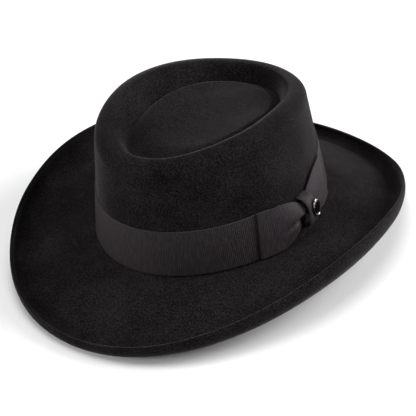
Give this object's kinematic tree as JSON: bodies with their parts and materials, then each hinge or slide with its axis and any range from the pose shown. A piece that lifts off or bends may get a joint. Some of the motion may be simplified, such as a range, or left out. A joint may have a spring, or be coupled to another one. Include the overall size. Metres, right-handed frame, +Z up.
{
  "type": "gambler hat",
  "caption": "Felt hat with a telescope crown, a dipping brim with a rolled edge, and a ribbon band with a pinned bow.",
  "frame": {"origin": "on the surface that the hat rests on, under the middle of its outline", "axes": "+Z up out of the crown, -Y to the front of the hat, +X to the wearer's left, where the bow is"},
  "size_m": [0.296, 0.3472, 0.1285],
  "materials": {
    "felt": "matte black wool felt with a fine short nap",
    "ribbon": "black grosgrain with fine upright ribs and a faint sheen",
    "pin_metal": "polished nickel plating",
    "pin_enamel": "plain black gloss enamel"
  },
  "bodies": {
    "root": {"felt_body": "felt", "hat_band": "ribbon", "bow_front_wing": "ribbon", "bow_back_wing": "ribbon", "bow_knot": "ribbon", "pin_bezel": "pin_metal", "pin_enamel": "pin_enamel"}
  },
  "joints": []
}
